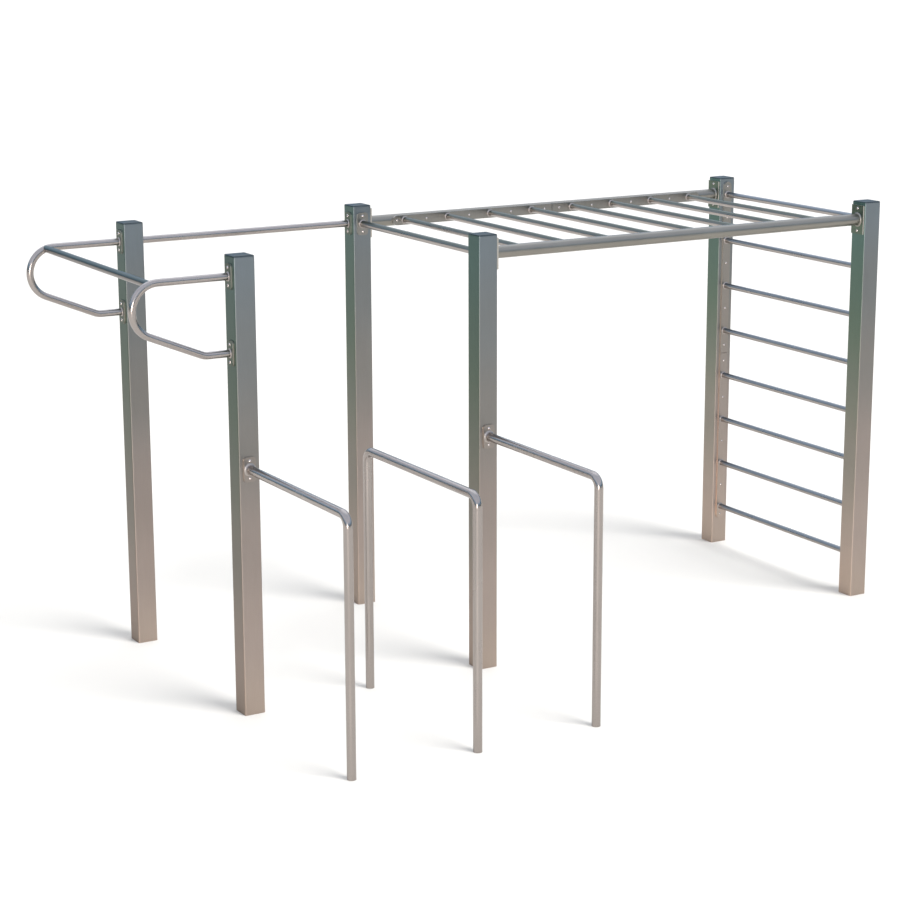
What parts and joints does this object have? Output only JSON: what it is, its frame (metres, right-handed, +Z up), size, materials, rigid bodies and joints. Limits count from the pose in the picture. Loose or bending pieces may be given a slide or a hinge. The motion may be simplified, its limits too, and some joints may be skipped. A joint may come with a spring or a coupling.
{
  "type": "monkey bars",
  "caption": "Stainless steel playground climbing station: square posts carry a high bar, two loops, an overhead ladder and wall bars, with dip rails at the side.",
  "frame": {"origin": "centre of the bounding box at ground level, under all posts and rail legs", "axes": "+X along the station from the loops to the wall bars, +Y from the dip rails to the back row of posts, +Z up"},
  "size_m": [4.905, 2.7092, 2.505],
  "materials": {
    "post": "satin stainless, fine vertical grain",
    "cap": "satin stainless",
    "tube": "polished satin stainless",
    "stringer": "satin stainless",
    "rung": "polished satin stainless",
    "plate": "satin stainless, laser-cut edges",
    "screw": "bright stainless",
    "nut": "plain stainless"
  },
  "bodies": {
    "root": {"post_outer_back": "post", "post_outer_front": "post", "post_middle_back": "post", "post_middle_front": "post", "post_far_back": "post", "post_far_front": "post", "cap_outer_back": "cap", "cap_outer_front": "cap", "cap_middle_back": "cap", "cap_middle_front": "cap", "cap_far_back": "cap", "cap_far_front": "cap", "high_bar": "tube", "high_bar_flanges": "plate", "middle_bar": "tube", "middle_bar_flanges": "plate", "loop_back": "tube", "loop_front": "tube", "loop_crossbar": "tube", "loop_flanges": "plate", "stringer_back": "stringer", "stringer_front": "stringer", "stringer_plates_middle": "plate", "stringer_plates_far": "plate", "overhead_strips_near": "plate", "overhead_rungs_near": "rung", "overhead_strips_far": "plate", "overhead_rungs_far": "rung", "wall_strips_upper": "plate", "wall_rungs_upper": "rung", "wall_strips_lower": "plate", "wall_rungs_lower": "rung", "dip_rail_outer": "tube", "dip_rail_middle": "tube", "dip_rail_free": "tube", "dip_rail_flanges": "plate", "high_bar_screws": "screw", "middle_bar_screws": "screw", "loop_screws": "screw", "dip_rail_screws": "screw", "stringer_screws": "screw", "overhead_screws": "screw", "wall_screws": "screw", "high_bar_rivet_nuts": "nut", "middle_bar_rivet_nuts": "nut", "loop_rivet_nuts": "nut", "dip_rail_rivet_nuts": "nut", "stringer_rivet_nuts": "nut", "overhead_rivet_nuts": "nut", "wall_rivet_nuts": "nut"}
  },
  "joints": []
}
